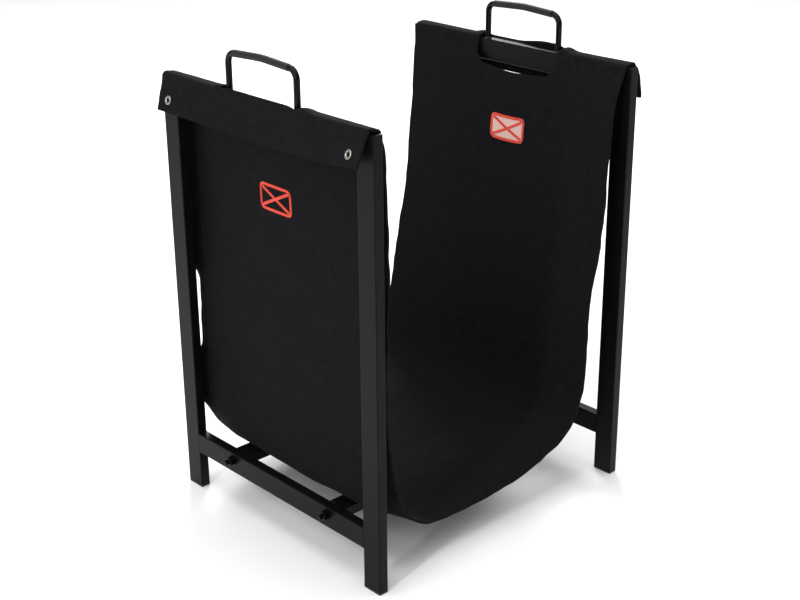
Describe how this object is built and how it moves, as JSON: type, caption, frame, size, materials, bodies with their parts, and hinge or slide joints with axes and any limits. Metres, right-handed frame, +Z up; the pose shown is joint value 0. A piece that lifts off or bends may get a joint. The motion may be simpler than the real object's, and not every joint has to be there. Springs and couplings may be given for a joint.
{
  "type": "log carrier",
  "caption": "Free-standing log carrier: two flat-tube side frames with bow handles, low crossbars and a sagging felt sling that hangs over the top rails and lifts off.",
  "frame": {"origin": "middle of the footprint, on the floor under the four feet", "axes": "+Z up, +X from the left side frame to the right one, +Y along the logs, away from the open front"},
  "size_m": [0.4268, 0.342, 0.5487],
  "materials": {
    "frame_black": "satin",
    "handle_black": "gloss",
    "fixing_black": "satin",
    "zinc_steel": "satin",
    "bright_eyelet": "polished",
    "grip_rubber": "matte",
    "plug_plastic": "matte",
    "dark_felt": "matte"
  },
  "bodies": {
    "stand": {"left_front_leg": "frame_black", "left_back_leg": "frame_black", "right_front_leg": "frame_black", "right_back_leg": "frame_black", "left_top_rail": "frame_black", "right_top_rail": "frame_black", "left_lower_rail": "frame_black", "right_lower_rail": "frame_black", "front_crossbar": "frame_black", "back_crossbar": "frame_black", "left_handle": "handle_black", "right_handle": "handle_black", "left_grip_sleeve": "grip_rubber", "right_grip_sleeve": "grip_rubber", "left_front_foot_plug": "plug_plastic", "left_back_foot_plug": "plug_plastic", "right_front_foot_plug": "plug_plastic", "right_back_foot_plug": "plug_plastic", "crossbar_end_blocks": "zinc_steel", "crossbar_studs": "zinc_steel", "stud_washers": "fixing_black", "stud_nuts": "fixing_black"},
    "sling": {"sling": "dark_felt", "eyelets": "bright_eyelet"}
  },
  "joints": [
    {"name": "sling_lift", "type": "slide", "parent": "stand", "child": "sling", "axis": [0, 0, 1], "range_m": [0, 0.52]}
  ]
}
